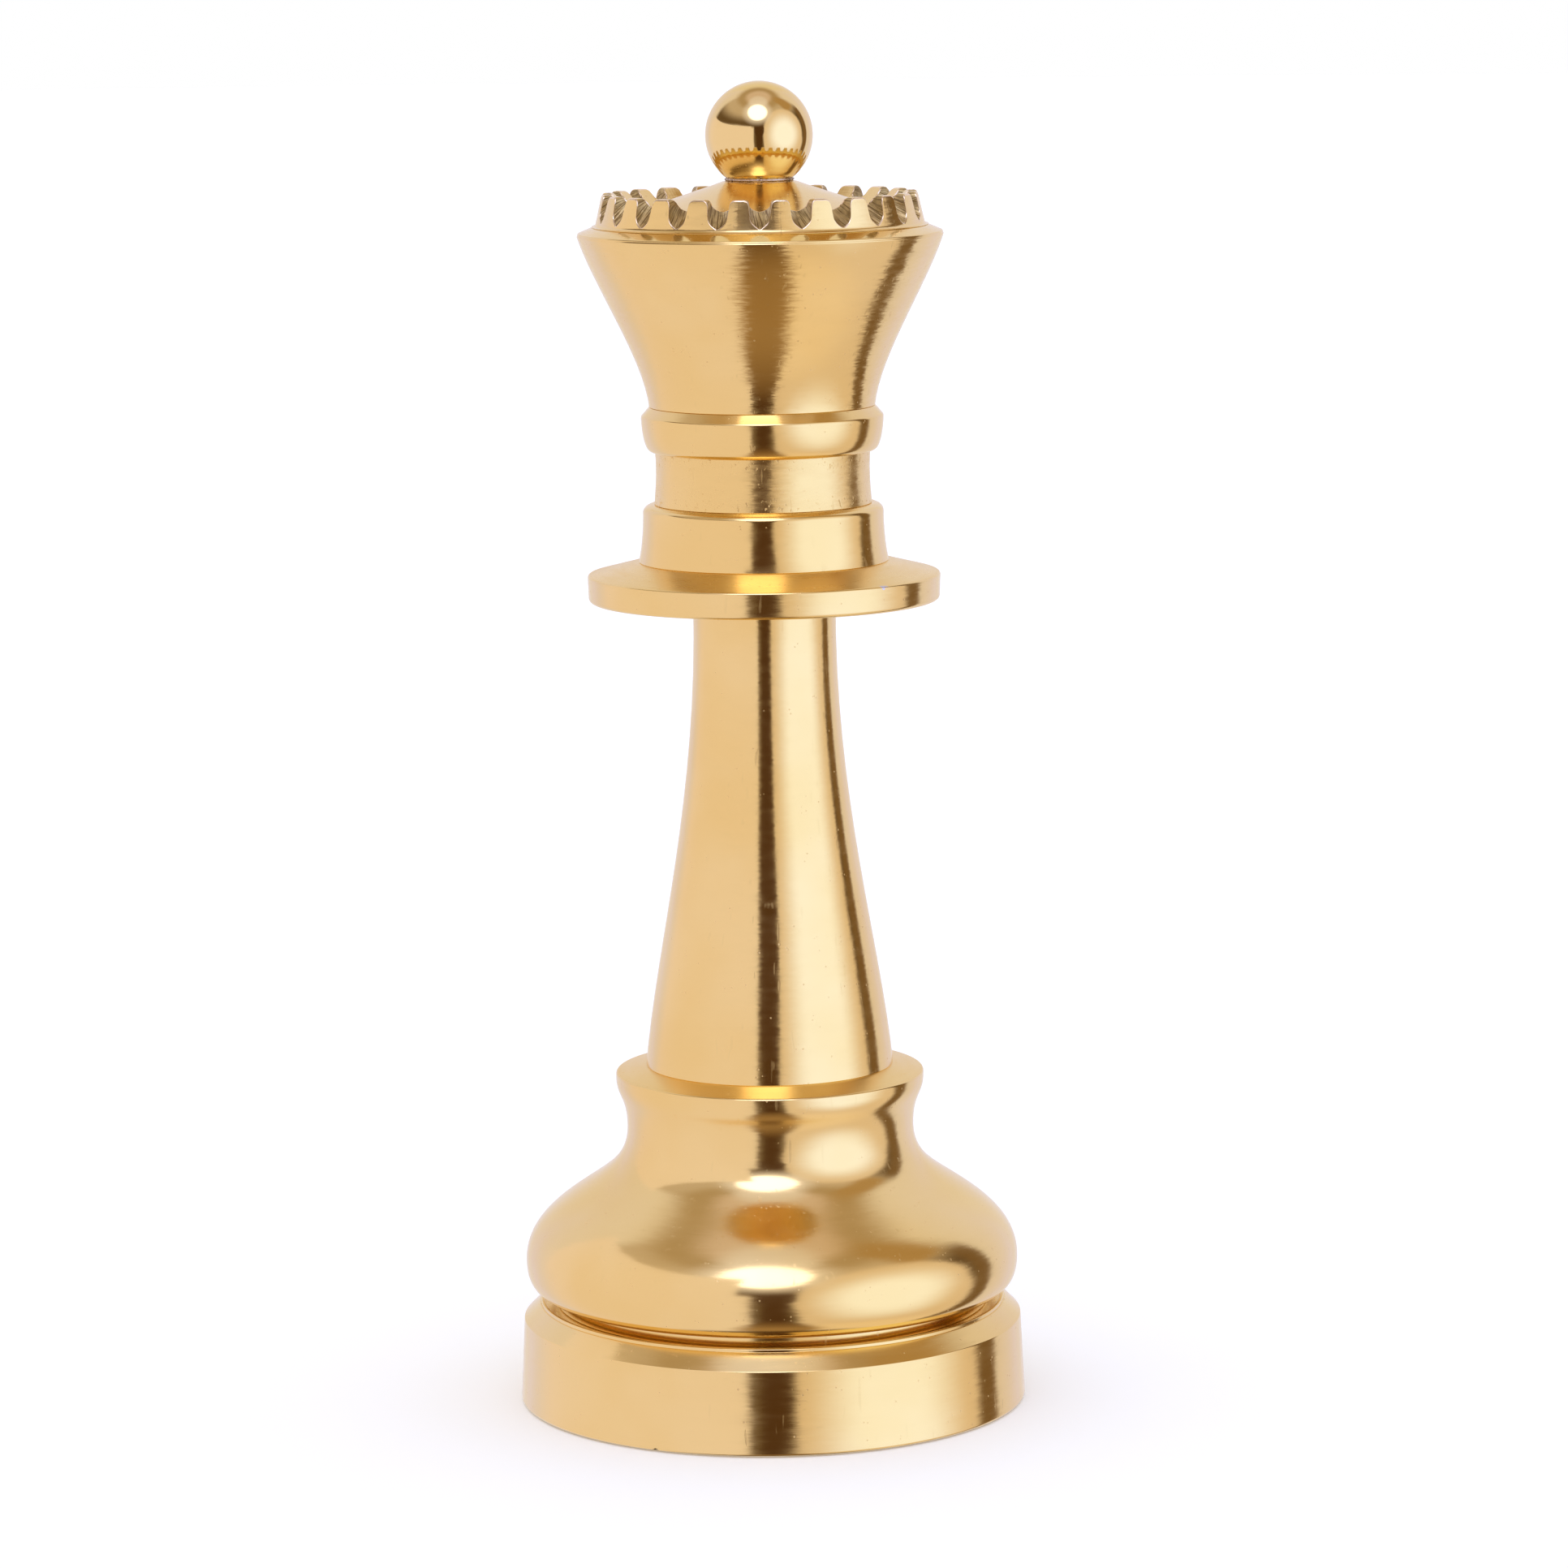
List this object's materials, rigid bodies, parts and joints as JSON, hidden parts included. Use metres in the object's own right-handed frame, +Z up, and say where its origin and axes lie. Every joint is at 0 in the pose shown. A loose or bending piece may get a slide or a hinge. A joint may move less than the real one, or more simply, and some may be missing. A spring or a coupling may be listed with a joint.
{
  "type": "giant chess queen ornament",
  "caption": "Tabletop giant chess queen: gilt turned castings stacked on a tie rod, with a notched coronet, a felt-covered base and a ball finial that unscrews.",
  "frame": {"origin": "centre of the felt pad's underside, on the surface the piece stands on", "axes": "+Z up the turning axis towards the ball finial; -Y is the front, where one notch of the coronet faces almost straight ahead; +X to the viewer's right"},
  "size_m": [0.137, 0.137, 0.3555],
  "materials": {
    "gilt_aluminium": "pale gold plating on cast aluminium, turned, brushed and hand-polished",
    "bare_aluminium": "soft crushed washer metal, thinly gilt",
    "zinc_steel": "bright zinc-plated steel",
    "felt": "black wool felt"
  },
  "bodies": {
    "stack": {"plinth": "gilt_aluminium", "base_bulb": "gilt_aluminium", "stem": "gilt_aluminium", "collar_disc": "gilt_aluminium", "lower_collar_ring": "gilt_aluminium", "neck_spool": "gilt_aluminium", "upper_collar_ring": "gilt_aluminium", "crown_cup": "gilt_aluminium", "coronet_ring": "gilt_aluminium", "crown_dome": "gilt_aluminium", "tie_rod": "zinc_steel", "crown_washer": "zinc_steel", "crown_nut": "zinc_steel", "base_washer": "zinc_steel", "base_spring_washer": "zinc_steel", "base_nut": "zinc_steel", "base_cover": "zinc_steel", "cover_screws": "zinc_steel", "felt_pad": "felt"},
    "finial_seat": {"finial_washer": "bare_aluminium"},
    "finial": {"finial_ball": "gilt_aluminium"}
  },
  "joints": [
    {"name": "finial_lift", "type": "slide", "parent": "stack", "child": "finial_seat", "axis": [0, 0, 1], "range_m": [0, 0.0125]},
    {"name": "finial_turn", "type": "hinge", "parent": "finial_seat", "child": "finial", "pos_m": [0, 0, 0.3413], "axis": [0, 0, 1], "range_deg": [0, 3600]}
  ],
  "couplings": [
    {"joint": "finial_lift", "follows": "finial_turn", "m_per_rad": 0.00019894}
  ]
}
